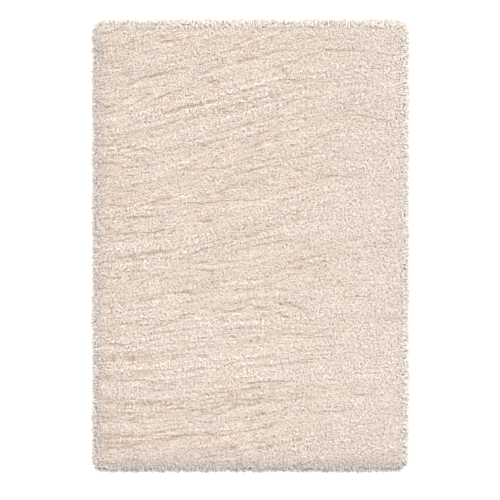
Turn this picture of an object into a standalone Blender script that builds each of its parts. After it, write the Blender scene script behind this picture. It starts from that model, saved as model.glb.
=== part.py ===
"""A shag rug laid flat on the floor: a woven ground cloth with a deep cut pile, in one piece.

The weaver makes the ground cloth and its pile together, and turns the cloth's own edge in
as a hem, so the rug is one solid. It runs from the cloth's flat underside to the tips of
the pile, and it has the rug's rounded corners, its side where the pile spreads and rolls
over the edge of the cloth, and the shallow troughs where the pile parts.

The origin is under the middle of the rug, on the floor. X runs across the rug, Y along it
and Z up. The pile leans towards -Y. All sizes are in metres.
"""

import math

import bmesh
import bpy

# The ground cloth, as it is cut and sold.
CLOTH_WIDTH = 1.600
CLOTH_LENGTH = 2.300
CLOTH_THICKNESS = 0.003

# The pile that stands on it.
PILE_DEPTH = 0.030
PILE_SPREAD = 0.012  # how far the outermost tufts fall past the edge of the cloth
EDGE_ROLL = 0.045  # the width of the band in which the pile rolls down to its side
ROLL_FULLNESS = 2.4  # 2 is a quarter of an ellipse, and more is squarer
WIDEST_AT = 0.011  # the height at which the side of the pile bulges out furthest

# The rounding of the pile at each corner. "near" is towards -Y and "left" is towards -X.
CORNER_RADIUS = {
    ("left", "near"): 0.034,
    ("right", "near"): 0.058,
    ("left", "far"): 0.046,
    ("right", "far"): 0.042,
}

# How the outline wanders in and out: the wavelength, and the reach to each side of the line.
OUTLINE_WAVES = (
    {"wavelength": 0.61, "reach": 0.0016},
    {"wavelength": 0.23, "reach": 0.0013},
)
WAVES_START = {"left": 0.07, "right": 0.15, "near": 0.22, "far": 0.34}
OUTLINE_HOLD = 8  # how fast the wander dies away inwards, as a power of the distance out

# The slow swell of the top: wavelength, reach up and down, and heading in degrees from +X.
SWELLS = (
    {"wavelength": 0.92, "reach": 0.0008, "heading": 62},
    {"wavelength": 0.47, "reach": 0.0007, "heading": 101},
)

# The main partings of the pile, each a soft trough: the middle of the trough, its length,
# the angle by which its +X end is turned towards +Y, in degrees, and its depth.
PARTINGS = (
    {"x": -0.60, "y": 0.93, "length": 0.26, "turn": 4, "depth": 0.0022},
    {"x": 0.52, "y": 0.97, "length": 0.30, "turn": -6, "depth": 0.0020},
    {"x": -0.17, "y": 0.90, "length": 0.24, "turn": 22, "depth": 0.0022},
    {"x": 0.50, "y": 0.80, "length": 0.42, "turn": 7, "depth": 0.0036},
    {"x": -0.45, "y": 0.75, "length": 0.36, "turn": 12, "depth": 0.0020},
    {"x": -0.30, "y": 0.56, "length": 0.44, "turn": 19, "depth": 0.0026},
    {"x": 0.50, "y": 0.60, "length": 0.30, "turn": -7, "depth": 0.0022},
    {"x": -0.16, "y": 0.41, "length": 0.58, "turn": 4, "depth": 0.0038},
    {"x": 0.33, "y": 0.36, "length": 0.34, "turn": 9, "depth": 0.0024},
    {"x": -0.27, "y": 0.23, "length": 0.98, "turn": 4, "depth": 0.0042},
    {"x": -0.42, "y": 0.08, "length": 0.62, "turn": 2, "depth": 0.0030},
    {"x": -0.14, "y": 0.01, "length": 0.52, "turn": 15, "depth": 0.0036},
    {"x": 0.42, "y": -0.04, "length": 0.40, "turn": 7, "depth": 0.0040},
    {"x": -0.66, "y": -0.15, "length": 0.26, "turn": 5, "depth": 0.0036},
    {"x": -0.02, "y": -0.28, "length": 0.40, "turn": 11, "depth": 0.0026},
    {"x": -0.60, "y": -0.50, "length": 0.32, "turn": -5, "depth": 0.0028},
    {"x": 0.30, "y": -0.46, "length": 0.32, "turn": -9, "depth": 0.0024},
    {"x": 0.16, "y": -0.70, "length": 0.30, "turn": 2, "depth": 0.0028},
    {"x": -0.56, "y": -0.79, "length": 0.48, "turn": -3, "depth": 0.0038},
    {"x": 0.36, "y": -0.86, "length": 0.34, "turn": 6, "depth": 0.0028},
    {"x": -0.28, "y": -0.98, "length": 0.42, "turn": 3, "depth": 0.0028},
)
TROUGH_WIDTH = 0.026  # from a trough's middle to where it is a third as deep

# How finely the top is divided: cells in the rolled edge, and in the middle each way.
EDGE_CELLS = 3
EDGE_CROWDING = 1.5  # 1 spaces the lines in the rolled edge evenly, and more crowds them outwards
MIDDLE_CELLS_ACROSS = 30
MIDDLE_CELLS_ALONG = 74

PILE_COLOUR = (0.78, 0.67, 0.58, 1.0)
PILE_ROUGHNESS = 0.95


def clear_scene():
    for item in list(bpy.data.objects):
        bpy.data.objects.remove(item, do_unlink=True)


def make_material(name, colour, roughness):
    material = bpy.data.materials.new(name)
    material.use_nodes = True
    shader = material.node_tree.nodes["Principled BSDF"]
    shader.inputs["Base Color"].default_value = colour
    shader.inputs["Roughness"].default_value = roughness
    shader.inputs["Metallic"].default_value = 0.0
    return material


def place_of(step, cells, half):
    """Where a grid line lies, from -half to half: the lines crowd together in the rolled edge."""
    from_edge = min(step, cells - step)
    if from_edge <= EDGE_CELLS:
        inset = EDGE_ROLL * (from_edge / EDGE_CELLS) ** EDGE_CROWDING
    else:
        middle_cell = 2 * (half - EDGE_ROLL) / (cells - 2 * EDGE_CELLS)
        inset = EDGE_ROLL + (from_edge - EDGE_CELLS) * middle_cell
    return inset - half if step < cells / 2 else half - inset


def rounded(x, y, half_width, half_length):
    """The point moved inwards if it is in a corner, so that the square corner becomes an arc."""
    radius = CORNER_RADIUS["left" if x < 0 else "right", "near" if y < 0 else "far"]
    past_x = (abs(x) - (half_width - radius)) / radius
    past_y = (abs(y) - (half_length - radius)) / radius
    if past_x <= 0 or past_y <= 0:
        return x, y
    pulled_x = half_width - radius + radius * past_x * math.sqrt(1 - past_y**2 / 2)
    pulled_y = half_length - radius + radius * past_y * math.sqrt(1 - past_x**2 / 2)
    return math.copysign(pulled_x, x), math.copysign(pulled_y, y)


def wander(side, along):
    """How far the outline lies outside its straight line, at a place along one side."""
    return sum(
        wave["reach"] * math.sin(math.tau * (along + WAVES_START[side]) / wave["wavelength"])
        for wave in OUTLINE_WAVES
    )


def trough_depth(x, y):
    """How far the partings lower the top at a point."""
    depth = 0.0
    for parting in PARTINGS:
        turn = math.radians(parting["turn"])
        from_x, from_y = x - parting["x"], y - parting["y"]
        along = from_x * math.cos(turn) + from_y * math.sin(turn)
        across = from_y * math.cos(turn) - from_x * math.sin(turn)
        taper = math.exp(-((2 * along / parting["length"]) ** 4))
        depth += parting["depth"] * taper * math.exp(-((across / TROUGH_WIDTH) ** 2))
    return depth


def swell(x, y):
    total = 0.0
    for wave in SWELLS:
        heading = math.radians(wave["heading"])
        travelled = x * math.cos(heading) + y * math.sin(heading)
        total += wave["reach"] * math.sin(math.tau * travelled / wave["wavelength"])
    return total


def top_height(x, y, inset):
    """The height of the pile at a point that lies inset from the widest line of its side."""
    crown = CLOTH_THICKNESS + PILE_DEPTH + swell(x, y) - trough_depth(x, y)
    left_of_roll = max(0.0, 1 - inset / EDGE_ROLL)
    share = (1 - left_of_roll**ROLL_FULLNESS) ** (1 / ROLL_FULLNESS)
    return WIDEST_AT + (crown - WIDEST_AT) * share


def shape_top(sheet):
    """Turns a unit grid into the top of the pile, out to the widest line of its side."""
    cells_across = MIDDLE_CELLS_ACROSS + 2 * EDGE_CELLS
    cells_along = MIDDLE_CELLS_ALONG + 2 * EDGE_CELLS
    half_width = CLOTH_WIDTH / 2 + PILE_SPREAD
    half_length = CLOTH_LENGTH / 2 + PILE_SPREAD
    for vertex in sheet.verts:
        column = round((vertex.co.x + 1) / 2 * cells_across)
        row = round((vertex.co.y + 1) / 2 * cells_along)
        flat_x = place_of(column, cells_across, half_width)
        flat_y = place_of(row, cells_along, half_length)
        inset = min(half_width - abs(flat_x), half_length - abs(flat_y))
        x, y = rounded(flat_x, flat_y, half_width, half_length)
        x_out = wander("left" if x < 0 else "right", y) * (x / half_width) ** OUTLINE_HOLD
        y_out = wander("near" if y < 0 else "far", x) * (y / half_length) ** OUTLINE_HOLD
        height = top_height(x, y, inset)
        vertex.co = (x + math.copysign(x_out, x), y + math.copysign(y_out, y), height)


def close_underneath(sheet):
    """Rolls the side in from its widest line to the edge of the cloth, and closes the underside."""
    rim = [edge for edge in sheet.edges if edge.is_boundary]
    under = bmesh.ops.extrude_edge_only(sheet, edges=rim)["geom"]
    cloth_x = CLOTH_WIDTH / 2
    cloth_y = CLOTH_LENGTH / 2
    cloth_edge = [item for item in under if isinstance(item, bmesh.types.BMVert)]
    for vertex in cloth_edge:
        x, y, _ = vertex.co
        vertex.co = (
            x * cloth_x / (cloth_x + PILE_SPREAD),
            y * cloth_y / (cloth_y + PILE_SPREAD),
            0.0,
        )
    loop = [item for item in under if isinstance(item, bmesh.types.BMEdge)]
    floor_face = bmesh.ops.contextual_create(sheet, geom=loop)["faces"]
    bmesh.ops.triangulate(sheet, faces=floor_face, ngon_method="BEAUTY")


def centre_on_origin(sheet):
    """Moves the rug so that the middle of its outline is over the origin."""
    for axis in range(2):
        places = [vertex.co[axis] for vertex in sheet.verts]
        middle = (min(places) + max(places)) / 2
        for vertex in sheet.verts:
            vertex.co[axis] -= middle


def make_rug(collection):
    sheet = bmesh.new()
    bmesh.ops.create_grid(
        sheet,
        x_segments=MIDDLE_CELLS_ACROSS + 2 * EDGE_CELLS,
        y_segments=MIDDLE_CELLS_ALONG + 2 * EDGE_CELLS,
        size=1.0,
    )
    shape_top(sheet)
    close_underneath(sheet)
    centre_on_origin(sheet)
    bmesh.ops.recalc_face_normals(sheet, faces=sheet.faces)
    mesh = bpy.data.meshes.new("rug")
    sheet.to_mesh(mesh)
    sheet.free()
    mesh.shade_smooth()
    mesh.set_sharp_from_angle(angle=math.radians(60))
    rug = bpy.data.objects.new("rug", mesh)
    rug.data.materials.append(make_material("cream_pile", PILE_COLOUR, PILE_ROUGHNESS))
    collection.objects.link(rug)
    return rug


def main():
    clear_scene()
    collection = bpy.data.collections.new("shag_rug")
    bpy.context.scene.collection.children.link(collection)
    make_rug(collection)


main()
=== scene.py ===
# %% [markdown]
# # A shag rug, tuft by tuft
#
# This lesson builds the looks of a cream shag rug around a plain solid of it. On the real rug,
# soft yarn is set into a woven ground cloth in rows and cut, so that each tuft ends in a few
# loose yarn ends. The ends lean, part and bunch together, and they are all that the eye sees.
#
# The packed solid gives the size and the place of everything. It is loaded first, and its box
# is kept, so that the finished rug can be compared with it at the end.

# %% The frame
import math

import bpy
import numpy as np
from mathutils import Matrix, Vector


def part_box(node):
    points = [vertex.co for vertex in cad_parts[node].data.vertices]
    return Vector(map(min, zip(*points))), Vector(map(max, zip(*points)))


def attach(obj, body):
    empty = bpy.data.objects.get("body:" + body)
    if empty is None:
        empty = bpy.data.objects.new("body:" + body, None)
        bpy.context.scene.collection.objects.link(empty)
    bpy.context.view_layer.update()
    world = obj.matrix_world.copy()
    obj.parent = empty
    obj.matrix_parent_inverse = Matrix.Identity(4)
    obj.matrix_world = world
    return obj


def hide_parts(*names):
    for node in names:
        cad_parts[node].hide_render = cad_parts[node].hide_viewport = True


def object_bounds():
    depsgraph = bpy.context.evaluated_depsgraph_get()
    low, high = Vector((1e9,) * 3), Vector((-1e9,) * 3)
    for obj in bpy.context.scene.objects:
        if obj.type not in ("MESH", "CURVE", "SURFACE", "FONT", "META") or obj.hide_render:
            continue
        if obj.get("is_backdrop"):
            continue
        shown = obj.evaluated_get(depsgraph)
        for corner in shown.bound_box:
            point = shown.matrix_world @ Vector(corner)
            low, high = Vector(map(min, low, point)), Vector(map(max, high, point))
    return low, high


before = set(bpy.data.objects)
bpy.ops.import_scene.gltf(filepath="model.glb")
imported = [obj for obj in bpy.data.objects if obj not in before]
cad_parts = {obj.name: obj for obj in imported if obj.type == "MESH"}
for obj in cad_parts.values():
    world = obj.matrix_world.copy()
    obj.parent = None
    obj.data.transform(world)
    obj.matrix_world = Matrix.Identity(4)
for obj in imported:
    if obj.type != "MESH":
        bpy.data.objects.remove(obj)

cad_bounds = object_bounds()
low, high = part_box("rug")
RUG_HEIGHT = high.z
MILLIMETRE = 0.001
print("the solid is", [round(size, 3) for size in high - low], "m")

# %% [markdown]
# ## Nodes written as Python
#
# Both the pile's Geometry Nodes and the materials are node trees. Placing nodes one by one
# hides what they work out, so a small class wraps an output socket and overloads Python's
# operators: `1 - a * b` adds the two Math nodes and links them. Numbers go through Math,
# vectors through Vector Math, and colours through Mix. Every other node comes from one method,
# `node`, which takes the node's type, its settings, and then the values or wires of its sockets.

# %% A wire
class Wire:
    """An output socket that takes part in Python arithmetic."""

    def __init__(self, tree, socket):
        self.tree = tree
        self.socket = socket

    def out(self, name):
        """Another output of the same node."""
        found = next(s for s in self.socket.node.outputs if s.enabled and s.name == name)
        return Wire(self.tree, found)

    def math(self, operation, *operands):
        """A Math node on numbers, or a Vector Math node if one of them is a vector."""
        vector = any(isinstance(x, Wire) and x.socket.type == "VECTOR" for x in operands)
        kind = "ShaderNodeVectorMath" if vector else "ShaderNodeMath"
        return self.tree.node(kind, {"operation": operation}, dict(enumerate(operands)))

    def __add__(self, other):
        return self.math("ADD", self, other)

    def __radd__(self, other):
        return self.math("ADD", other, self)

    def __sub__(self, other):
        return self.math("SUBTRACT", self, other)

    def __rsub__(self, other):
        return self.math("SUBTRACT", other, self)

    def __mul__(self, other):
        return self.math("MULTIPLY", self, other)

    def __rmul__(self, other):
        return self.math("MULTIPLY", other, self)

    def __truediv__(self, other):
        return self.math("DIVIDE", self, other)

    def __pow__(self, other):
        return self.math("POWER", self, other)

    def sine(self):
        return self.math("SINE", self)

    def floor(self):
        return self.math("FLOOR", self)

    def kept_in(self, lowest, highest):
        """The value, but never below lowest nor above highest."""
        return self.math("MINIMUM", self.math("MAXIMUM", self, lowest), highest)

    def times(self, other):
        """This colour multiplied by another."""
        settings = {"data_type": "RGBA", "blend_type": "MULTIPLY"}
        return self.tree.node("ShaderNodeMix", settings, {"Factor": 1.0, "A": self, "B": other})

    def feed(self, socket):
        """Links this wire to a socket of a node that is already there."""
        self.tree.links.new(self.socket, socket)


print("a wire has", ", ".join(name for name in vars(Wire) if not name.startswith("__")))


# %% A tree of nodes
class Tree:
    """A node tree that is written as Python expressions."""

    def __init__(self, node_tree):
        self.nodes = node_tree.nodes
        self.links = node_tree.links

    def node(self, kind, settings=None, sockets=None):
        """Adds a node and gives its first output."""
        made = self.nodes.new(kind)
        for name, value in (settings or {}).items():
            if name == "stops":
                self.set_stops(made.color_ramp.elements, value)
            else:
                setattr(made, name, value)
        for name, value in (sockets or {}).items():
            self.set_socket(made, name, value)
        return Wire(self, next((s for s in made.outputs if s.enabled), None))

    def set_stops(self, elements, stops):
        """Sets a ramp's stops, which are pairs of a place and a colour."""
        while len(elements) < len(stops):
            elements.new(1.0)
        for element, (place, colour) in zip(elements, stops):
            element.position = place
            element.color = (*colour, 1.0)

    def set_socket(self, made, name, value):
        """Links a wire to a socket, or sets its value. The name may be the socket's number."""
        enabled = [s for s in made.inputs if s.enabled]
        if isinstance(name, int):
            socket = enabled[name]
        else:
            socket = next(s for s in enabled if s.name == name)
        if isinstance(value, Wire):
            value.feed(socket)
        elif socket.type == "VECTOR" and isinstance(value, (int, float)):
            socket.default_value = (value, value, value)
        else:
            socket.default_value = value

    def vector(self, x, y, z):
        """A vector from three numbers or wires."""
        return self.node("ShaderNodeCombineXYZ", {}, {"X": x, "Y": y, "Z": z})


print("a tree has", ", ".join(name for name in vars(Tree) if not name.startswith("__")))


# %% A new material
def new_finish(name):
    """A material, its shader, and the tree in which the shader's wires are worked out."""
    material = bpy.data.materials.new(name)
    material.use_nodes = True
    return material, material.node_tree.nodes["Principled BSDF"], Tree(material.node_tree)


print("a new finish starts from a plain shader and an empty tree")

# %% [markdown]
# ## How the pile lies
#
# The tufts stand in straight rows, but their tips don't: walking, rolling and brushing lay them
# over in long, nearly level drifts, which climb a little towards the right-hand side. The
# drifts could be a painted pattern, but a tip that really moves also makes its shadow. So the
# lean of each tuft is worked out with numpy before any yarn is made.
#
# Everything below is built from one soft noise. Its cells may be long and thin, which gives
# bands when it is measured along and across the drifts instead of along X and Y.

# %% Soft noise
LATTICE = 256  # the noise repeats after this many cells


def blend(share):
    """Eases a share from 0 to 1, so that neighbouring cells join without a crease."""
    return share * share * (3 - 2 * share)


def soft_noise(x, y, cell_x, cell_y, seed):
    """Smooth noise from -1 to 1: random values on a grid of cells, blended in between."""
    lattice = np.random.default_rng(seed).uniform(-1, 1, (LATTICE, LATTICE))
    u = x / cell_x + LATTICE // 2
    v = y / cell_y + LATTICE // 2
    column = np.floor(u).astype(int)
    row = np.floor(v).astype(int)
    to_right = blend(u - column)
    to_above = blend(v - row)

    def at(rows, columns):
        return lattice[rows % LATTICE, columns % LATTICE]

    below = at(row, column) * (1 - to_right) + at(row, column + 1) * to_right
    above = at(row + 1, column) * (1 - to_right) + at(row + 1, column + 1) * to_right
    return below * (1 - to_above) + above * to_above


def layer_noise(x, across, layer):
    """The soft noise of one layer: its cells are as long and as wide as the layer says."""
    return soft_noise(x, across, layer["along"], layer["across"], layer["seed"])


sample = soft_noise(np.linspace(0, 1, 1000), np.zeros(1000), 0.05, 0.05, 1)
print("a metre of soft noise runs from", round(sample.min(), 2), "to", round(sample.max(), 2))


# %% The drift lines
LAY_COLUMNS = (-0.70, -0.35, 0.00, 0.35, 0.70)  # x, in metres
LAY_RISE = (  # the drifts' rise in degrees, at each of these x
    {"y": 1.05, "rise": (9, 14, 17, 10, 4)},
    {"y": 0.55, "rise": (10, 17, 17, 12, 5)},
    {"y": 0.10, "rise": (9, 12, 15, 12, 4)},
    {"y": -0.35, "rise": (5, 6, 4, 2, 1)},
    {"y": -1.05, "rise": (2, 8, 11, 9, 4)},
)
RISE_REACH = 0.3  # how far up and down the rug each row of the table is felt, in metres


def across_drift(x, y):
    """How far a point is up the rug from the drift line through the rug's middle, in metres."""
    fine = np.linspace(-0.9, 0.9, 181)  # every centimetre, from beyond one side to the other
    middle = len(fine) // 2
    climbs = []
    for level in LAY_RISE:
        slope = np.tan(np.radians(np.interp(fine, LAY_COLUMNS, level["rise"])))
        climb = np.concatenate([[0], np.cumsum((slope[1:] + slope[:-1]) / 2 * np.diff(fine))])
        climbs.append(np.interp(x, fine, climb - climb[middle]))
    down_the_rug = [-level["y"] for level in LAY_RISE]
    place = np.interp(-y, down_the_rug, range(len(LAY_RISE))).clip(0, len(LAY_RISE) - 1.001)
    upper = place.astype(int)
    share = place - upper
    climbs = np.array(climbs)
    picked = np.arange(len(x))
    return y - (climbs[upper, picked] * (1 - share) + climbs[upper + 1, picked] * share)


def drift_angle(x, y):
    """The rise of the drifts at a point, in radians."""
    rises = np.array([np.interp(x, LAY_COLUMNS, level["rise"]) for level in LAY_RISE])
    levels = np.array([level["y"] for level in LAY_RISE])
    nearness = np.exp(-(((y[None, :] - levels[:, None]) / RISE_REACH) ** 2))
    return np.radians((rises * nearness).sum(0) / nearness.sum(0))


CALM_FROM = 0.42  # right of this x, in metres, the pile stands up
CALM_BLEND = 0.07
CALM = 0.62  # the share of the drift that is lost there


def drifting(x):
    """How strongly the pile drifts at x."""
    return 1 - CALM / (1 + np.exp(-(x - CALM_FROM) / CALM_BLEND))


corner_climb = across_drift(np.array([0.8]), np.array([0.8]))[0]
print("a drift through the right-hand side starts", round(float(corner_climb), 2), "m up the middle")

# %% [markdown]
# ## The main partings
#
# A few dozen partings are plain to see, each a hand's breadth to half a metre long. These are
# placed one by one. Beside its line a parting pushes the tips away to both sides, and the push
# fades over a finger's width.

# %% The table of main partings
PARTINGS = (  # metres, and the rise in degrees; push is how far the tips part, in millimetres
    {"x": -0.23, "y": 0.40, "length": 0.20, "rise": 3, "push": 6.0},
    {"x": -0.15, "y": 0.23, "length": 0.75, "rise": 3, "push": 5.5},
    {"x": -0.65, "y": 0.285, "length": 0.10, "rise": 0, "push": 4.0},
    {"x": -0.68, "y": 0.21, "length": 0.12, "rise": 0, "push": 4.0},
    {"x": -0.15, "y": 0.01, "length": 0.54, "rise": 18, "push": 5.5},
    {"x": 0.30, "y": -0.06, "length": 0.20, "rise": 15, "push": 6.0},
    {"x": 0.50, "y": -0.04, "length": 0.12, "rise": 0, "push": 4.5},
    {"x": 0.57, "y": 0.79, "length": 0.14, "rise": 5, "push": 5.5},
    {"x": 0.32, "y": 0.76, "length": 0.10, "rise": 20, "push": 4.0},
    {"x": 0.71, "y": 0.99, "length": 0.12, "rise": -15, "push": 4.0},
    {"x": 0.49, "y": 1.01, "length": 0.20, "rise": -3, "push": 4.0},
    {"x": 0.66, "y": 0.92, "length": 0.10, "rise": 0, "push": 3.5},
    {"x": -0.18, "y": 0.92, "length": 0.13, "rise": 25, "push": 4.5},
    {"x": -0.41, "y": 1.06, "length": 0.15, "rise": 5, "push": 4.0},
    {"x": -0.71, "y": 0.92, "length": 0.14, "rise": 5, "push": 4.0},
    {"x": -0.205, "y": 0.84, "length": 0.12, "rise": 15, "push": 4.0},
    {"x": -0.56, "y": 0.865, "length": 0.10, "rise": 25, "push": 4.0},
    {"x": 0.24, "y": 0.86, "length": 0.26, "rise": 0, "push": 4.0},
    {"x": -0.44, "y": 0.78, "length": 0.08, "rise": 25, "push": 4.0},
    {"x": -0.35, "y": 0.72, "length": 0.14, "rise": 15, "push": 4.0},
    {"x": 0.64, "y": 0.66, "length": 0.20, "rise": -8, "push": 4.0},
    {"x": -0.68, "y": 0.515, "length": 0.20, "rise": 0, "push": 4.0},
    {"x": -0.43, "y": 0.49, "length": 0.22, "rise": 12, "push": 4.0},
    {"x": 0.03, "y": 0.40, "length": 0.16, "rise": 15, "push": 4.5},
    {"x": 0.21, "y": 0.35, "length": 0.17, "rise": 5, "push": 4.0},
    {"x": 0.45, "y": 0.36, "length": 0.17, "rise": 0, "push": 4.0},
    {"x": -0.575, "y": 0.07, "length": 0.30, "rise": 5, "push": 4.5},
    {"x": -0.25, "y": 0.13, "length": 0.15, "rise": 3, "push": 4.0},
    {"x": 0.74, "y": 0.085, "length": 0.12, "rise": 10, "push": 4.0},
    {"x": -0.55, "y": -0.04, "length": 0.18, "rise": 12, "push": 4.0},
    {"x": -0.74, "y": -0.16, "length": 0.10, "rise": 0, "push": 4.0},
    {"x": -0.63, "y": -0.13, "length": 0.14, "rise": 5, "push": 4.5},
    {"x": -0.50, "y": -0.27, "length": 0.12, "rise": 10, "push": 4.0},
    {"x": -0.32, "y": -0.24, "length": 0.17, "rise": 3, "push": 4.0},
    {"x": -0.06, "y": -0.29, "length": 0.20, "rise": 15, "push": 4.5},
    {"x": 0.18, "y": -0.30, "length": 0.17, "rise": -12, "push": 4.0},
    {"x": -0.73, "y": -0.305, "length": 0.08, "rise": -15, "push": 4.0},
    {"x": 0.54, "y": -0.26, "length": 0.15, "rise": 3, "push": 4.0},
    {"x": 0.29, "y": -0.46, "length": 0.19, "rise": -3, "push": 4.0},
    {"x": -0.70, "y": -0.50, "length": 0.15, "rise": -3, "push": 4.0},
    {"x": -0.62, "y": -0.58, "length": 0.10, "rise": 5, "push": 4.0},
    {"x": -0.63, "y": -0.69, "length": 0.33, "rise": 0, "push": 4.0},
    {"x": 0.08, "y": -0.70, "length": 0.35, "rise": 0, "push": 4.5},
    {"x": -0.64, "y": -0.79, "length": 0.30, "rise": -3, "push": 4.5},
    {"x": 0.03, "y": -0.79, "length": 0.20, "rise": -3, "push": 4.0},
    {"x": -0.19, "y": -0.76, "length": 0.18, "rise": 8, "push": 4.0},
    {"x": 0.42, "y": -0.85, "length": 0.24, "rise": 5, "push": 4.0},
    {"x": 0.57, "y": -0.76, "length": 0.10, "rise": 0, "push": 4.0},
    {"x": -0.49, "y": -0.98, "length": 0.60, "rise": 2, "push": 4.0},
)
PARTING_REACH = 0.016  # how far from its line a parting still pushes the tips, in metres
PARTING_PUSH = 0.8  # a share of the push in the table
PARTING_WANDER = 0.007  # how far the line of a parting wanders to each side, in metres


def main_partings(x, y):
    """How far the main partings push the tips across the drifts, in metres, the distance from
    the line of the nearest one, and how far that one is open, from 0 to about 1."""
    push = np.zeros_like(x)
    distance = np.ones_like(x)
    openness = np.zeros_like(x)
    for parting in PARTINGS:
        turn = math.radians(parting["rise"])
        from_x, from_y = x - parting["x"], y - parting["y"]
        along = from_x * math.cos(turn) + from_y * math.sin(turn)
        across = from_y * math.cos(turn) - from_x * math.sin(turn)
        across = across + PARTING_WANDER * soft_noise(x, y, 0.05, 0.2, 77)
        taper = np.exp(-((2 * along / parting["length"]) ** 4))
        fall = np.exp(-np.abs(across) / PARTING_REACH)
        push += PARTING_PUSH * parting["push"] * MILLIMETRE * np.sign(across) * fall * taper
        closer = taper * fall > openness * np.exp(-np.abs(distance) / PARTING_REACH)
        distance = np.where(closer, across, distance)
        openness = np.where(closer, taper, openness)
    return push, distance, openness


print(len(PARTINGS), "main partings,", round(sum(p["length"] for p in PARTINGS), 1), "m in all")

# %% [markdown]
# ## Drifts and steps
#
# Between the main partings the pile is never flat. Four layers of soft noise swing the tips
# across the drifts, from broad waves down to single bunches. The pile also lies in overlapping
# steps, like thatch: each step ends in a thin parting that comes and goes. A sawtooth across
# the drifts gives the steps, and more soft noise bends the sawtooth and breaks it up.

# %% The drifts and the steps
DRIFTS = (  # each layer's cell along and across the drifts in metres, and its reach in mm
    {"along": 0.800, "across": 0.0500, "reach": 3.0, "seed": 11},
    {"along": 0.500, "across": 0.0270, "reach": 3.2, "seed": 12},
    {"along": 0.300, "across": 0.0140, "reach": 2.8, "seed": 18},
    {"along": 0.110, "across": 0.0080, "reach": 1.8, "seed": 19},
)
STEPS = (  # the distance from one step to the next in metres, and its reach in mm
    {"length": 0.029, "reach": 3.2, "seed": 13},
    {"length": 0.041, "reach": 4.0, "seed": 23},
    {"length": 0.066, "reach": 4.6, "seed": 33},
)
STEP_NOISE = {  # the layers of noise in a step; each one adds its number to the step's seed
    "bend": {"along": 0.40, "across": 0.090, "seed": 0},
    "strength": {"along": 0.50, "across": 0.028, "seed": 1},
    "flutter": {"along": 0.06, "across": 0.030, "seed": 2},
    "breaks": {"along": 0.08, "across": 0.012, "seed": 3},
}
STEP_BEND = 1.4  # how far the noise shifts a step, as a share of the distance to the next one
STEP_FLUTTER = 0.20
STEP_STRENGTH = 0.52  # how strong a step is on average, and how much that changes
STEP_VARIETY = 0.45
STEP_UNBROKEN = 0.66
STEP_BREAKS = 0.65
STRONGEST_STEP = 1.2


def steps_of(x, across):
    """The overlapping steps: for each one, its phase, and how strong it is from 0 to about 1."""
    phases, strengths = [], []
    for step in STEPS:
        noise = {
            name: layer_noise(x, across, {**layer, "seed": step["seed"] + layer["seed"]})
            for name, layer in STEP_NOISE.items()
        }
        shift = STEP_BEND * noise["bend"] + STEP_FLUTTER * noise["flutter"]
        phases.append(across / step["length"] + shift)
        strong = np.clip(STEP_STRENGTH + STEP_VARIETY * noise["strength"], 0, 1)
        unbroken = np.clip(STEP_UNBROKEN + STEP_BREAKS * noise["breaks"], 0, STRONGEST_STEP)
        strengths.append(strong * unbroken * drifting(x))
    return phases, strengths


def swing_of(x, y, across):
    """How far the tips swing across the drifts, in metres."""
    swing = sum(drift["reach"] * layer_noise(x, across, drift) for drift in DRIFTS)
    for step, phase, strength in zip(STEPS, *steps_of(x, across)):
        swing = swing - step["reach"] * (phase % 1 - 0.5) * strength
    ragged_x = x + 0.1 * soft_noise(x, y, 0.3, 0.3, 31)
    return swing * drifting(ragged_x) * MILLIMETRE


print("the drifts reach", sum(drift["reach"] for drift in DRIFTS), "mm at most")

# %% The shade of the bands
SHADES = (  # each layer's cell along and across the drifts in metres, and its share
    {"along": 1.20, "across": 0.050, "share": 0.10, "seed": 41},
    {"along": 0.70, "across": 0.026, "share": 0.32, "seed": 42},
    {"along": 0.28, "across": 0.012, "share": 0.42, "seed": 43},
)


def shade_of(x, across):
    """How light the pile looks from above, from -1 to 1, in long bands along the drifts."""
    return sum(shade["share"] * layer_noise(x, across, shade) for shade in SHADES) * drifting(x)


print("the bands of shade come in", len(SHADES), "widths")

# %% [markdown]
# ## The partings' openings
#
# Down in a parting the eye sees the shaded lower part of the yarn, and the tips beside it stand
# up neatly instead of curling over. Both are needed again and again below, so one function
# gathers them from the main partings and from the ends of the steps.

# %% The openings
PARTING_WIDTH = 0.0045  # from the middle of a parting to where it closes, in metres
NEAR_PARTING = 0.0130  # and to where the yarn curls again
MAIN_PARTING = 0.50  # how deep a main parting opens, where 1 is down to the roots
STEP_PARTING = 0.72  # and the end of a step
STEP_NEATNESS = 0.7  # how neatly the tips stand there, where 1 is as at a main parting


def openings(x, across, distance, openness):
    """How deep the pile is parted, and how near a parting is, both from 0 to about 1."""
    parted = MAIN_PARTING * openness * np.exp(-((distance / PARTING_WIDTH) ** 2))
    beside = openness * np.exp(-((distance / NEAR_PARTING) ** 2))
    for step, phase, strength in zip(STEPS, *steps_of(x, across)):
        gap = np.minimum(phase % 1, 1 - phase % 1) * step["length"]
        parted = parted + STEP_PARTING * strength * np.exp(-((gap / PARTING_WIDTH) ** 2))
        beside = beside + STEP_NEATNESS * strength * np.exp(-((gap / NEAR_PARTING) ** 2))
    return parted.clip(0, 1.1), beside.clip(0, 1)


print("a parting is about", round(2 * PARTING_WIDTH / MILLIMETRE, 1), "mm wide")

# %% [markdown]
# ## The rows of tufts
#
# The weaver sets the tufts in rows across the rug, a finger's width apart. A tuft for each
# place could be drawn by hand, but a grid that is pushed a little out of true gives the same
# even cover. The rows stop just inside the rounded corners, so each point also needs to know
# how far it is from the edge of the cloth, and which way is out.

# %% Distance from the edge
CLOTH_WIDTH = 1.600
CLOTH_LENGTH = 2.300
CLOTH_THICKNESS = 0.003
ALMOST_NOTHING = 1e-9  # keeps a division safe right at a corner's middle
CORNER_RADIUS = {  # by the signs of x and y
    (-1, -1): 0.034,
    (1, -1): 0.058,
    (-1, 1): 0.046,
    (1, 1): 0.042,
}


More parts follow.
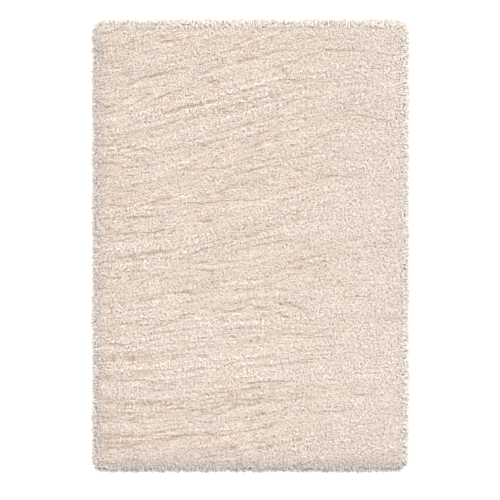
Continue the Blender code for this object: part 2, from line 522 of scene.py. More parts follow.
def edge_distance(x, y):
    """How far a point lies inside the edge of the cloth, and the direction of the nearest edge."""
    radius = np.zeros_like(x)
    for (side, end), size in CORNER_RADIUS.items():
        radius[(np.sign(x) == side) & (np.sign(y) == end)] = size
    past_x = np.abs(x) - (CLOTH_WIDTH / 2 - radius)
    past_y = np.abs(y) - (CLOTH_LENGTH / 2 - radius)
    outside = np.hypot(np.maximum(past_x, 0), np.maximum(past_y, 0))
    inset = radius - outside - np.minimum(np.maximum(past_x, past_y), 0)
    corner = (past_x > 0) & (past_y > 0)
    from_centre = np.maximum(outside, ALMOST_NOTHING)
    to_x = np.where(corner, past_x / from_centre, (past_x >= past_y) * 1.0)
    to_y = np.where(corner, past_y / from_centre, (past_x < past_y) * 1.0)
    return inset, to_x * np.sign(x), to_y * np.sign(y)


middle_inset = edge_distance(np.zeros(1), np.zeros(1))[0]
print("the middle of the rug is", float(middle_inset[0]), "m from the nearest edge")

# %% The rows
ROW_PITCH = 0.0110
TUFT_PITCH = 0.0115
FIRST_TUFT = 0.006  # in from the edge of the cloth
OUT_OF_PLACE = 0.4  # how far a tuft may be out of its place, as a share of the tuft's pitch
OUT_OF_ROW = 0.2  # and of the row's pitch
ROW_WANDER = 0.30
rng = np.random.default_rng(7)


def rows_of_tufts():
    """The places of the tufts: rows that wander a little, each tuft a little out of its place."""
    rows = np.arange(-CLOTH_LENGTH / 2, CLOTH_LENGTH / 2, ROW_PITCH)
    columns = np.arange(-CLOTH_WIDTH / 2, CLOTH_WIDTH / 2 + TUFT_PITCH, TUFT_PITCH)
    y, x = np.meshgrid(rows + ROW_PITCH / 2, columns, indexing="ij")
    x = x + rng.uniform(0, 1, len(rows))[:, None] * TUFT_PITCH
    x, y = x.ravel(), y.ravel()
    x = x + rng.uniform(-OUT_OF_PLACE, OUT_OF_PLACE, len(x)) * TUFT_PITCH
    y = y + rng.uniform(-OUT_OF_ROW, OUT_OF_ROW, len(y)) * ROW_PITCH
    y = y + ROW_WANDER * ROW_PITCH * soft_noise(x, y, 0.045, 0.009, 21)
    kept = edge_distance(x, y)[0] > FIRST_TUFT
    return x[kept], y[kept]


tuft_x, tuft_y = rows_of_tufts()
print(len(tuft_x), "tufts in rows", 1000 * ROW_PITCH, "mm apart")

# %% [markdown]
# ## The lean of each tuft
#
# A tuft's lean is a vector from its root to the middle of its tips. Its level part is the swing
# across the drifts and a smaller sway along them. Its height is what is left of the yarn's
# length, so a tuft that leans further is also lower, as on the rug. In the outer few
# centimetres the pile no longer drifts: it rolls out and down over the edge.

# %% The lean
ROOT_HEIGHT = 0.011
EDGE_ROLL = 0.045  # the width of the band in which the pile rolls down to its side
LIE_DOWN = 4.0 * MILLIMETRE  # the whole pile leans this far towards -Y
SWAY = 4.0 * MILLIMETRE
SWAY_CELLS = {"along": 0.12, "across": 0.013, "seed": 15}
CALM_EDGE = 0.09  # the width of the band in which the drifts die away
ROLL_OUT = 0.010  # how far the outermost tufts reach out, and how suddenly that begins
ROLL_OUT_POWER = 1.5

inset, out_x, out_y = edge_distance(tuft_x, tuft_y)
across = across_drift(tuft_x, tuft_y)
angle = drift_angle(tuft_x, tuft_y)
push, distance, openness = main_partings(tuft_x, tuft_y)
parted, beside = openings(tuft_x, across, distance, openness)
swing = swing_of(tuft_x, tuft_y, across) + push - LIE_DOWN
sway = SWAY * layer_noise(tuft_x, across, SWAY_CELLS)
free = 1 - np.clip(1 - inset / CALM_EDGE, 0, 1)
roll = np.clip(1 - inset / EDGE_ROLL, 0, 1)
roll_out = ROLL_OUT * roll**ROLL_OUT_POWER
lean_x = (np.cos(angle) * sway - np.sin(angle) * swing) * free + out_x * roll_out
lean_y = (np.sin(angle) * sway + np.cos(angle) * swing) * free + out_y * roll_out
print("the tips lean by", round(1000 * float(np.hypot(lean_x, lean_y).mean()), 1), "mm on average")

# %% The height
TIP_ROOM = 0.002  # left at the top for the yarn's own thickness
CREST = 0.94  # the yarn's length, as a share of the room between its root and the top
LOST_BY_SPREADING = 0.06  # how that share changes where the tips spread, part or catch the light
LOST_BY_PARTING = 0.12
GAINED_BY_SHADE = 0.08
LEAN_COST = 0.5  # an arched yarn loses less of its height to its lean than a straight one
ROLL_DOWN = 0.36  # the share of the height that is lost at the very edge, and how suddenly
ROLL_DOWN_POWER = 2.4

nudge = 3 * MILLIMETRE
swing_above = swing_of(tuft_x, tuft_y, across + nudge)
swing_below = swing_of(tuft_x, tuft_y, across - nudge)
spreading = np.clip((swing_above - swing_below) / (2 * nudge), -0.8, 1.2)
shade = shade_of(tuft_x, across)
share = CREST - LOST_BY_SPREADING * spreading - LOST_BY_PARTING * parted + GAINED_BY_SHADE * shade
yarn_length = (RUG_HEIGHT - TIP_ROOM - ROOT_HEIGHT) * share
height = np.sqrt(np.maximum(yarn_length**2 - LEAN_COST * (lean_x**2 + lean_y**2), MILLIMETRE**2))
height = height * (1 - ROLL_DOWN * roll**ROLL_DOWN_POWER)
print("the tips stand", round(1000 * float(height.mean()), 1), "mm above their roots")

# %% [markdown]
# ## The tone of each tuft
#
# The rug is one cream all over, yet no two tufts look the same. A few yarns are greyer by chance,
# and on top of that light and shade are painted: the bands are painted lighter and darker, the
# partings and the places where the tips spread darker, and the rolled edge greyer and darker, most
# of all along the near end and the left-hand side, and lighter at the right-hand and far edge. All
# of that becomes one number from 0 to 1 for each tuft, the tone, which the yarn's material turns
# into a tint. Tones up to 0.75 are creams, from painted shade to painted light, and from 0.78 on
# they are greys, from dark to light.

# %% The creams
MEDIUM_CREAM = 0.48
SHADED_CREAM = 0.03
LIGHT_CREAM = 0.70
CREAM_PATCHES = 0.015  # how much the tone differs from place to place, and by chance
CREAM_CHANCE = 0.02
# painted light and shade in the cream's tone: by the bands, the spreading tips and the partings
PAINTED_LIGHT_BY_SHADE = 0.30
PAINTED_SHADE_BY_SPREADING = 0.08
PAINTED_SHADE_BY_PARTING = 0.62
PAINTED_LIGHT_AT_SIDE = 0.2  # painted light: how much lighter the pile is at the right-hand and the far edge
PAINTED_LIGHT_WIDTH = 0.07

from_left = tuft_x + CLOTH_WIDTH / 2
from_right = CLOTH_WIDTH / 2 - tuft_x
from_near = tuft_y + CLOTH_LENGTH / 2


def fading(distance, reach):
    """1 at an edge and less further in: about a third is left after each reach."""
    return np.exp(-distance / reach)


patches = CREAM_PATCHES * soft_noise(tuft_x, tuft_y, 0.22, 0.16, 17)
cream = MEDIUM_CREAM + patches + CREAM_CHANCE * rng.standard_normal(len(tuft_x))
# painted light and shade: lighter and darker bands, darker where the tips spread and in the partings
cream = cream + PAINTED_LIGHT_BY_SHADE * shade - PAINTED_SHADE_BY_SPREADING * spreading
cream = cream - PAINTED_SHADE_BY_PARTING * parted
# painted shade: darker along the left-hand edge and the near end, less further in
for away, share, reach in ((from_left, 0.18, 0.10), (from_near, 0.26, 0.09)):
    cream = cream - share * fading(away, reach)
# painted light: lighter at the right-hand and the far edge
lit = np.maximum(out_x, out_y).clip(0) * np.clip(1 - inset / PAINTED_LIGHT_WIDTH, 0, 1)
cream = (cream + PAINTED_LIGHT_AT_SIDE * lit).clip(SHADED_CREAM, LIGHT_CREAM)
print("the creams are", round(float(cream.mean()), 2), "on average")

# %% The greys
# The greys at the rolled edge are painted shade and light: darker at the near end and the left-hand
# side, lighter at the far end. Greys scattered by chance are the yarn's own.
DARK_GREY = 0.83
MEDIUM_GREY = 0.975
LIGHT_GREY = 0.985
GREY_SIDE_WIDTH = 0.10
GREY_BAND = 0.032  # the width of the band at the edge in which most yarn is grey
NEAR_GREY_BAND = 0.014  # and how much wider it is at the near end
EDGING_START = 1.3  # the greyer yarn thins out from the inner part of that band inwards
PAINTED_EDGE_GREY_TONE = {"everywhere": -0.02, "right": 0.02, "far": 0.05}  # painted light and shade: what is added to the grey's tone at the edge
PAINTED_EDGE_GREY_SHARE = {"everywhere": 0.35, "right": -0.5, "far": -0.6}  # the share of yarn painted grey there, as shade
LEAST_GREY_SHARE = 0.2
GREY_SAME_WAY = 0.4  # how far a greyer yarn follows the creams round it
MOST_SAME_WAY = 0.1
SCATTERED_SHARE = 0.02  # the share of greyer yarn scattered over the whole rug
SCATTERED_FROM = (  # more of it by a side, painted there as the edge's shade: the distance from it, the share, and how far that goes
    (from_left, 0.22, 0.22),
    (from_near, 0.22, 0.25),
    (from_right, 0.70, 0.11),
)


def by_side(amounts, out_x, out_y):
    """An amount for everywhere, with more or less of it towards the right and the far end."""
    return amounts["everywhere"] + amounts["right"] * out_x + amounts["far"] * out_y


def grey_tone_with_painted_edge(x, y):
    """The tone of the greys: light in the middle; painted shade at the edge, darker at the near and
    left-hand edge.
    """
    inset, out_x, out_y = edge_distance(x, y)
    at_side = np.clip(1 - inset / GREY_SIDE_WIDTH, 0, 1)
    tone = MEDIUM_GREY + at_side * by_side(PAINTED_EDGE_GREY_TONE, out_x, out_y)
    return tone.clip(DARK_GREY, LIGHT_GREY)


def painted_edge_grey_share(x, y):
    """The share of yarn painted grey, as shade, in the rolled edge: most at the near and left-hand
    edge.
    """
    _, out_x, out_y = edge_distance(x, y)
    return by_side(PAINTED_EDGE_GREY_SHARE, out_x, out_y).clip(LEAST_GREY_SHARE, 1.0)


scattered = SCATTERED_SHARE
for away, share, reach in SCATTERED_FROM:
    scattered = scattered + share * fading(away, reach)
edging = inset / (GREY_BAND - NEAR_GREY_BAND * np.minimum(out_y, 0))
edging = np.clip(EDGING_START - edging, 0, 1)
# painted grey shade at the edge, and greyer yarn scattered by chance
is_grey = rng.uniform(0, 1, len(tuft_x)) < scattered + painted_edge_grey_share(tuft_x, tuft_y) * edging
same_way = (cream - MEDIUM_CREAM).clip(-MOST_SAME_WAY, MOST_SAME_WAY)
grey = grey_tone_with_painted_edge(tuft_x, tuft_y) + GREY_SAME_WAY * same_way
tone = np.where(is_grey, grey, cream)
print(round(100 * float(is_grey.mean()), 1), "% of the tufts are greyer")

# %% [markdown]
# ## The yarn's finish
#
# The yarn is a soft two-ply, matt but with a faint sheen, cream at its tip and painted darker
# towards its root, as shade where less light gets in. Every yarn carries a small map of itself: V
# runs from its root to its tip, and U picks one of 32 columns, which is its tone, and then goes
# round the yarn. So one material can tint each of many thousand yarns by itself, and still draw
# the painted shade of its depth and of its twist, and its fibres, in the right place.

# %% The yarn's colours
TONES = 32
TWISTS = 4  # turns of the ply in the length of one yarn
YARN_SHADE_BY_DEPTH = (  # painted shade: the colour from the root, 0, to the tip, 1
    (0.0, (0.66, 0.52, 0.42)),
    (0.45, (0.92, 0.84, 0.76)),
    (1.0, (0.985, 0.945, 0.918)),
)
YARN_BY_TONE = (  # and how the tone changes it: cream from painted shade to painted light, then dark to light grey
    (0.0, (0.56, 0.46, 0.375)),
    (0.18, (0.84, 0.785, 0.725)),
    (0.755, (1.0, 1.0, 1.0)),
    (0.78, (0.47, 0.46, 0.455)),
    (1.0, (0.97, 0.965, 0.965)),
)
COLUMN_START = 0.12  # where the yarn's own U starts in its column, and how far a turn takes it
COLUMN_TURN = 1.1
FIBRES_AROUND = 5.0  # how many fibres lie round the yarn, and along it
FIBRES_ALONG = 26.0
NEXT_YARN = 3.7  # moves the fibres on, so that yarns of different tones don't look alike
# painted shade in the twist's groove
TWIST_SHADE = 0.06
FIBRE_MOTTLE = 0.26


def yarn_finish():
    """Cream two-ply yarn: its tone, its painted shade at the root and in the twist, and its fibres."""
    material, shader, t = new_finish("cream_yarn")
    yarn_map = t.node("ShaderNodeUVMap", {"uv_map": "OFBake"})
    split = t.node("ShaderNodeSeparateXYZ", {}, {0: yarn_map})
    across, along = split.out("X"), split.out("Y")
    column = (across * TONES).floor()
    around = (across * TONES - column - COLUMN_START) / COLUMN_TURN
    twist = ((around + along * TWISTS) * math.tau).sine()
    round_the_yarn = around * FIBRES_AROUND + column * NEXT_YARN
    fibre_place = t.vector(round_the_yarn, along * FIBRES_ALONG, column)
    fibres = t.node("ShaderNodeTexNoise", {}, {"Vector": fibre_place, "Scale": 1.0, "Detail": 2.0})
    # painted shade: darker towards the root
    depth = t.node("ShaderNodeValToRGB", {"stops": YARN_SHADE_BY_DEPTH}, {"Fac": along})
    tint = t.node("ShaderNodeValToRGB", {"stops": YARN_BY_TONE}, {"Fac": column / TONES})
    # painted shade in the ply's groove, with the fibres' own mottle; darker mottle turns browner
    mottle = 0.95 + twist * TWIST_SHADE + (fibres - 0.5) * FIBRE_MOTTLE
    browner = t.node("ShaderNodeCombineColor", {}, {0: mottle**0.75, 1: mottle, 2: mottle**1.25})
    depth.times(tint).times(browner).feed(shader.inputs["Base Color"])
    (0.86 + (fibres - 0.5) * 0.2).feed(shader.inputs["Roughness"])
    relief = {"Strength": 0.6, "Distance": 0.0008, "Height": twist * 0.5 + fibres}
    t.node("ShaderNodeBump", {}, relief).feed(shader.inputs["Normal"])
    shader.inputs["Sheen Weight"].default_value = 0.25
    shader.inputs["Sheen Roughness"].default_value = 0.5
    shader.inputs["Specular IOR Level"].default_value = 0.2
    return material


CREAM_YARN = yarn_finish()
print(CREAM_YARN.name, "has", len(CREAM_YARN.node_tree.nodes), "nodes")

# %% [markdown]
# ## A tree that grows yarn
#
# Nearly a hundred thousand yarns repeat the same thing, so Geometry Nodes make them. The
# tree is given loose points, one for each tuft, that carry the tuft's lean and tone. It copies
# each point once for each yarn, stands a line on it, bends the line, and wraps a skin round it.
# Hair curves would draw faster, but they aren't a mesh, and the rug has to be one in the end.
#
# The tree's sizes are named inputs, and its only chance comes from a seed that is fixed.

# %% The tree's inputs
GROW_YARN = bpy.data.node_groups.new("grow_yarn", "GeometryNodeTree")
YARN_INPUTS = (
    ("Tufts", "NodeSocketGeometry"),
    ("Yarns in a tuft", "NodeSocketInt"),
    ("Thickness", "NodeSocketFloat"),
    ("Crowding", "NodeSocketFloat"),
    ("Root spread", "NodeSocketVector"),
    ("Tip spread", "NodeSocketVector"),
    ("Tone spread", "NodeSocketFloat"),
    ("Seed", "NodeSocketInt"),
    ("Yarn finish", "NodeSocketMaterial"),
)
for name, kind in YARN_INPUTS:
    GROW_YARN.interface.new_socket(name, in_out="INPUT", socket_type=kind)
GROW_YARN.interface.new_socket("Pile", in_out="OUTPUT", socket_type="NodeSocketGeometry")
tree = Tree(GROW_YARN)
given = tree.node("NodeGroupInput")
print("the tree takes", len(YARN_INPUTS), "inputs")

# %% Reading, storing and chance
WORKING = set()  # what the tree stores on the way, and the finished yarn doesn't need


def stored(name, kind="FLOAT"):
    """Reads what a tuft or a yarn carries."""
    WORKING.add(name)
    return tree.node("GeometryNodeInputNamedAttribute", {"data_type": kind}, {"Name": name})


def store(geometry, name, value, kind="FLOAT", domain="POINT"):
    """Writes a value on each yarn, point or corner, and gives the geometry on."""
    settings = {"data_type": kind, "domain": domain}
    sockets = {"Geometry": geometry, "Name": name, "Value": value}
    return tree.node("GeometryNodeStoreNamedAttribute", settings, sockets)


def random_value(lowest, highest, offset):
    """A number by chance for each yarn, or a vector of them."""
    kind = "FLOAT_VECTOR" if isinstance(lowest, tuple) else "FLOAT"
    sockets = {"Min": lowest, "Max": highest, "Seed": given.out("Seed") + offset}
    return tree.node("FunctionNodeRandomValue", {"data_type": kind}, sockets)


print("chance comes from the seed, so the same seed grows the same yarn")

# %% From tufts to yarns
EACH_WAY = ((-1, -1, -1), (1, 1, 1))  # the least and the most of a random direction
points = tree.node("GeometryNodeMeshToPoints", {}, {"Mesh": given})
amount = {"Geometry": points, "Amount": given.out("Yarns in a tuft")}
yarns = tree.node("GeometryNodeDuplicateElements", {"domain": "POINT"}, amount)
root = tree.node("GeometryNodeInputPosition") + random_value(*EACH_WAY, 1) * given.out("Root spread")
reach = stored("lean", "FLOAT_VECTOR") * random_value(0.88, 1.1, 3)
hook = random_value(*EACH_WAY, 2) * given.out("Tip spread")
column = stored("tone") + random_value(-1.0, 1.0, 6) * given.out("Tone spread")
yarns = store(yarns, "hook", hook, "FLOAT_VECTOR")
yarns = store(yarns, "root", root, "FLOAT_VECTOR")
yarns = store(yarns, "reach", reach, "FLOAT_VECTOR")
yarns = store(yarns, "girth", given.out("Thickness") * random_value(0.85, 1.2, 4))
yarns = store(yarns, "turn", random_value(0.0, math.tau, 5))
yarns = store(yarns, "column", (column.kept_in(0.0, 0.999) * TONES).floor())
print("each yarn has a root, a reach, a hook, a girth, a turn and a column")

# %% [markdown]
# ### Bending a yarn
#
# A cut yarn rises steeply out of the cloth, arches over, and curls at its free end. Three
# points draw that well enough at this size, and every point more would be paid for nearly a
# hundred thousand times. The points crowd towards the tip, where the yarn bends most. Sideways
# the reach starts slowly, and upwards it starts fast, and that makes the arch. A yarn that would
# sink into the floor lies on it instead.

# %% The bent line
POINTS_ALONG_A_YARN = 3
LYING_HEIGHT = 0.0035  # the height of the middle of a yarn that lies on the floor
SIDEWAYS_POWER = 1.8  # how late the yarn begins to reach sideways, and to curl
CURL_POWER = 1.7
line = tree.node("GeometryNodeCurvePrimitiveLine", {}, {"Start": 0.0, "End": (0.0, 0.0, 1.0)})
count = {"Curve": line, "Count": POINTS_ALONG_A_YARN}
line = tree.node("GeometryNodeResampleCurve", {}, count)
lines = tree.node("GeometryNodeInstanceOnPoints", {}, {"Points": yarns, "Instance": line})
lines = tree.node("GeometryNodeRealizeInstances", {}, {"Geometry": lines})
step = tree.node("GeometryNodeSplineParameter") ** given.out("Crowding")
arch = stored("arch")
reach = stored("reach", "FLOAT_VECTOR")
sideways = reach * tree.vector(1.0, 1.0, 0.0) * step**SIDEWAYS_POWER
upwards = reach * tree.vector(0.0, 0.0, 1.0) * (step * (1 + arch) - step * step * arch)
curl = stored("hook", "FLOAT_VECTOR") * step**CURL_POWER * stored("looseness")
bent = stored("root", "FLOAT_VECTOR") + sideways + upwards + curl
bent = tree.node("ShaderNodeSeparateXYZ", {}, {0: bent})
place = tree.vector(bent.out("X"), bent.out("Y"), bent.out("Z").kept_in(LYING_HEIGHT, 1.0))
lines = tree.node("GeometryNodeSetPosition", {}, {"Geometry": lines, "Position": place})
lines = store(lines, "along", step)
print("a yarn bends at", POINTS_ALONG_A_YARN, "points")

# %% [markdown]
# ### The skin of a yarn
#
# The yarn is a soft round strand with a blunt end. Its skin has three sides, smoothly shaded,
# a closed tip a little thinner than its middle, and a root that runs to a point out of sight
# in the roots of the pile: ten triangles in all. The map for the yarn's finish is stored here,
# because only the tree knows which corner lies where along the yarn and around it.

# %% The skin
SIDES = 3
TIP_LOSS = 0.36  # how much thinner the blunt tip is than the middle
MAP_START = 0.03  # V at the root, and how much of V the yarn takes
MAP_LENGTH = 0.95
CAP_SLANT = 0.2  # sets the tip's corners apart on the map, so that the tip has an area there
LAST_SIDE = 0.6667  # the slant is nothing at the first and at the last side
WELD = 1e-5  # joins the root's corners, which all lie in one point
thickening = (step * 2.0).kept_in(0.0, 1.0) * (1 - step**4 * TIP_LOSS)
lines = tree.node("GeometryNodeSetCurveRadius", {}, {"Curve": lines, "Radius": 1.0})
lines = tree.node("GeometryNodeSetCurveTilt", {}, {"Curve": lines, "Tilt": stored("turn")})
ring = tree.node("GeometryNodeCurvePrimitiveCircle", {}, {"Resolution": SIDES, "Radius": 1.0})
ring = store(ring, "around", tree.node("GeometryNodeInputIndex") / SIDES)
wrapped = {
    "Curve": lines,
    "Profile Curve": ring,
    "Scale": stored("girth") * 0.5 * thickening,
    "Fill Caps": True,
}
skin = tree.node("GeometryNodeCurveToMesh", {}, wrapped)
around = stored("around")
u = (stored("column") + COLUMN_START + around * COLUMN_TURN) / TONES
v = stored("along") * MAP_LENGTH + MAP_START - around * (LAST_SIDE - around) * CAP_SLANT
skin = store(skin, "OFBake", tree.vector(u, v, 0.0), "FLOAT2", "CORNER")
skin = tree.node("GeometryNodeMergeByDistance", {}, {"Geometry": skin, "Distance": WELD})
skin = tree.node("GeometryNodeSetShadeSmooth", {}, {0: skin})
skin = tree.node("GeometryNodeRealizeInstances", {}, {"Geometry": skin})
finish = {"Geometry": skin, "Material": given.out("Yarn finish")}
tree.node("NodeGroupOutput", {}, {0: tree.node("GeometryNodeSetMaterial", {}, finish)})
print("the tree has", len(GROW_YARN.nodes), "nodes, and each yarn", SIDES * 3 + 1, "triangles")

# %% [markdown]
# ## From the tree to a plain mesh
#
# The tree runs as a modifier on a mesh of loose points. Reading the evaluated object gives the
# grown yarn as a plain mesh that no longer needs the modifier. The inputs are set before the
# object is first evaluated, each by its socket's own identifier, because a name can change.

# %% Growing
def tuft_mesh(x, y, z, carried):
    """A mesh of loose points, one for each tuft, with what the points carry."""
    mesh = bpy.data.meshes.new("tufts")
    mesh.vertices.add(len(x))
    mesh.vertices.foreach_set("co", np.stack([x, y, z], 1).astype(np.float32).ravel())
    for name, values in carried.items():
        kind, field = ("FLOAT_VECTOR", "vector") if values.ndim == 2 else ("FLOAT", "value")
        attribute = mesh.attributes.new(name, kind, "POINT")
        attribute.data.foreach_set(field, values.astype(np.float32).ravel())
    return mesh


def put_in_scene(name, mesh):
    """Makes a finished mesh an object, and says how big it is."""
    mesh.name = name
    piece = bpy.data.objects.new(name, mesh)
    bpy.context.scene.collection.objects.link(piece)
    mesh.calc_loop_triangles()
    sizes = [round(size, 3) for size in piece.dimensions]
    print(name, "has", len(mesh.loop_triangles), "triangles and measures", sizes, "m")
    return piece


def grow(name, tufts, inputs):
    """Runs the tree on a mesh of tufts and gives the yarns as a plain mesh object."""
    seedbed = bpy.data.objects.new("seedbed", tufts)
    bpy.context.scene.collection.objects.link(seedbed)
    modifier = seedbed.modifiers.new("grow_yarn", "NODES")
    modifier.node_group = GROW_YARN
    for item in GROW_YARN.interface.items_tree:
        if item.name in inputs:
            modifier[item.identifier] = inputs[item.name]
    grown = seedbed.evaluated_get(bpy.context.evaluated_depsgraph_get())
    mesh = bpy.data.meshes.new_from_object(grown)
    for attribute in [a.name for a in mesh.attributes]:
        if attribute in WORKING:
            mesh.attributes.remove(mesh.attributes[attribute])
    seedbed.modifiers.remove(modifier)
    bpy.data.objects.remove(seedbed)
    return put_in_scene(name, mesh)


print("what only the tree needs:", ", ".join(sorted(WORKING)))

# %% [markdown]
# ## The pile
#
# Now the rows of tufts can grow. They grow in five bands from the near end to the far end,
# because a mesh of a million triangles is slow to work with. The bands meet along a row and
# leave no seam. Near a parting the yarn stands up straighter than elsewhere, so its looseness,
# the share of the curl that is left, is less there.

# %% The bands of pile
BANDS = 5
ARCH = 0.9  # how much of its arch a tuft has, where 0 is a straight yarn
NEATNESS = 0.7  # the share of the curl that is lost beside a parting
PILE_YARN = {
    "Yarns in a tuft": 3,
    "Thickness": 0.0060,
    "Crowding": 0.5,
    "Root spread": (0.0045, 0.0020, 0.0),
    "Tip spread": (0.0150, 0.0085, 0.0030),
    "Tone spread": 0.04,
    "Yarn finish": CREAM_YARN,
}
looseness = 1 - NEATNESS * beside
band_ends = np.linspace(-CLOTH_LENGTH / 2, CLOTH_LENGTH / 2, BANDS + 1)
pile = []
for band in range(BANDS):
    here = (tuft_y >= band_ends[band]) & (tuft_y < band_ends[band + 1])
    count = here.sum()
    carried = {
        "lean": np.stack([lean_x, lean_y, height], 1)[here],
        "tone": tone[here],
        "arch": np.full(count, ARCH),
        "looseness": looseness[here],
    }
    tufts = tuft_mesh(tuft_x[here], tuft_y[here], np.full(count, ROOT_HEIGHT), carried)
    pile.append(grow("pile_%d" % (band + 1), tufts, {**PILE_YARN, "Seed": 10 * band}))

# %% [markdown]
# ## The edge of the pile
#
# At the edge nothing holds the tufts up from outside, so they fall over it and hide the cloth:
# the outermost hang down to the floor, and further in they lean less and stand higher. The rows
# would leave this edge ragged, so tufts are added at an even pitch along lines that follow the
# outline, one line for each tier. Soft bumps, an uneven reach and scattered roots keep the
# lines from showing.

# %% Places round the edge
def around_the_edge(inset, pitch):
    """Places at an even pitch along a line that runs inset inside the cloth's edge."""
    xs, ys = [], []
    corners = [(1, 1), (-1, 1), (-1, -1), (1, -1)]
    for index, (side, end) in enumerate(corners):
        radius = CORNER_RADIUS[side, end] - inset
        centre_x = side * (CLOTH_WIDTH / 2 - inset - radius)
        centre_y = end * (CLOTH_LENGTH / 2 - inset - radius)
        start = math.atan2(end, side) - math.pi / 4
        turn = start + math.pi / 2
        for angle in np.arange(start, turn, pitch / radius):
            xs.append(centre_x + radius * math.cos(angle))
            ys.append(centre_y + radius * math.sin(angle))
        next_side, next_end = corners[(index + 1) % 4]
        next_radius = CORNER_RADIUS[next_side, next_end] - inset
        from_x = centre_x + radius * math.cos(turn)
        from_y = centre_y + radius * math.sin(turn)
        to_x = next_side * (CLOTH_WIDTH / 2 - inset - next_radius) + next_radius * math.cos(turn)
        to_y = next_end * (CLOTH_LENGTH / 2 - inset - next_radius) + next_radius * math.sin(turn)
        steps = int(math.dist((from_x, from_y), (to_x, to_y)) / pitch)
        for share in np.arange(steps) / steps:
            xs.append(from_x * (1 - share) + to_x * share)
            ys.append(from_y * (1 - share) + to_y * share)
    return np.array(xs), np.array(ys)


print(len(around_the_edge(0.010, 0.010)[0]), "tufts would fit 10 mm apart, 10 mm from the edge")

# %% The tiers of edge tufts
EDGE_TIERS = (  # millimetres: in from the cloth's edge, up from the floor, and the reach outwards
    {"inset": 2.0, "scatter": 0.8, "root": 4.0, "out": 11.0, "tip": 4.5, "arch": 1.2, "pitch": 3.4},
    {"inset": 5.0, "scatter": 1.5, "root": 8.0, "out": 13.5, "tip": 11.0, "arch": 1.2, "pitch": 3.4},
    {"inset": 10.0, "scatter": 3.0, "root": 11.0, "out": 12.0, "tip": 20.0, "arch": 1.0, "pitch": 4.2},
    {"inset": 17.0, "scatter": 5.0, "root": 12.0, "out": 9.0, "tip": 26.0, "arch": 0.9, "pitch": 4.4},
    {"inset": 27.0, "scatter": 8.0, "root": 12.0, "out": 5.0, "tip": 29.0, "arch": 0.9, "pitch": 4.4},
)
EDGE_YARN = {
    "Yarns in a tuft": 1,
    "Thickness": 0.0058,
    "Crowding": 0.55,
    "Root spread": (0.0030, 0.0030, 0.0015),
    "Tip spread": (0.0110, 0.0110, 0.0040),
    "Tone spread": 0.0,
    "Yarn finish": CREAM_YARN,
}


EDGE_CREAM = 0.45
EDGE_CREAM_CHANCE = 0.08
EDGE_GREY_CHANCE = 0.04
DARKEST_GREY = 0.80
LIGHTEST_GREY = 0.99
LOWEST_TIER_PAINTED_GREY = 0.7  # painted shade: how much more of the yarn is greyer in the lowest tier
EDGE_SHADE_BY_SIDE = {"everywhere": 0.035, "right": 0.03, "far": -0.035}  # and how much darker it is painted there, as shade
EDGE_SHADE_AT_ENDS = 0.015


def edge_tone(x, y, lowest):
    """The tones of a tier of tufts, with painted shade that is darker and greyer towards the floor:
    lowest is 1 for the tier next to the floor and 0 on top.
    """
    _, out_x, out_y = edge_distance(x, y)
    is_grey = rng.uniform(0, 1, len(x)) < painted_edge_grey_share(x, y) + LOWEST_TIER_PAINTED_GREY * lowest
    # painted shade: the lower tiers are darker
    darker = lowest * (by_side(EDGE_SHADE_BY_SIDE, out_x, out_y) + EDGE_SHADE_AT_ENDS * np.abs(out_y))
    greys = grey_tone_with_painted_edge(x, y) - darker + rng.uniform(-EDGE_GREY_CHANCE, EDGE_GREY_CHANCE, len(x))
    creams = EDGE_CREAM + rng.uniform(-EDGE_CREAM_CHANCE, EDGE_CREAM_CHANCE, len(x))
    return np.where(is_grey, greys.clip(DARKEST_GREY, LIGHTEST_GREY), creams)


print("the edge has", len(EDGE_TIERS), "tiers of tufts")

# %% Growing the edge
EDGE_BUMPS = (  # the soft bumps of the outline: each one's cell in metres, and its reach in mm
    {"along": 0.021, "across": 0.021, "reach": 2.8, "seed": 61},
    {"along": 0.009, "across": 0.009, "reach": 1.8, "seed": 62},
)
LONGER = {"everywhere": 2.5, "right": 2.5, "far": 3.5}  # millimetres past each tier's own reach
LONGER_AT_FAR_END = 3.0
UNEVEN_REACH = 2.4
UNEVEN_RISE = 2.6

for number, tier in enumerate(EDGE_TIERS):
    x, y = around_the_edge(tier["inset"] * MILLIMETRE, tier["pitch"] * MILLIMETRE)
    _, out_x, out_y = edge_distance(x, y)
    bumps = sum(bump["reach"] * layer_noise(x, y, bump) for bump in EDGE_BUMPS)
    longer = by_side(LONGER, out_x, out_y) + LONGER_AT_FAR_END * out_y.clip(0)
    uneven = UNEVEN_REACH * rng.standard_normal(len(x))
    out = (tier["out"] + longer + bumps + uneven) * MILLIMETRE
    moved = tier["scatter"] * rng.uniform(-1, 1, len(x)) * MILLIMETRE
    uneven = UNEVEN_RISE * rng.standard_normal(len(x))
    rise = (tier["tip"] - tier["root"] + uneven) * MILLIMETRE
    carried = {
        "lean": np.stack([out_x * out, out_y * out, rise], 1),
        "tone": edge_tone(x, y, 1 - number / (len(EDGE_TIERS) - 1)),
        "arch": np.full(len(x), tier["arch"]),
        "looseness": np.ones(len(x)),
    }
    root_height = np.full(len(x), tier["root"] * MILLIMETRE)
    tufts = tuft_mesh(x + out_x * moved, y + out_y * moved, root_height, carried)
    pile.append(grow("pile_edge_%d" % (number + 1), tufts, {**EDGE_YARN, "Seed": 100 + 10 * number}))

# %% [markdown]
# ## A slab with the rug's outline
#
# Two flat pieces are left, the mass of roots and the ground cloth. Both are thin slabs with the
# cloth's rounded outline. A grid is pulled into the four round corners, its top is set to
# whatever height the piece asks for, and a wall goes down from its rim to a flat underside. The
# points and faces are listed in a fixed order, so that every run gives exactly the same mesh.

# %% The rounded slab
SHARP_FROM = math.radians(50)  # an edge that turns by more stays sharp


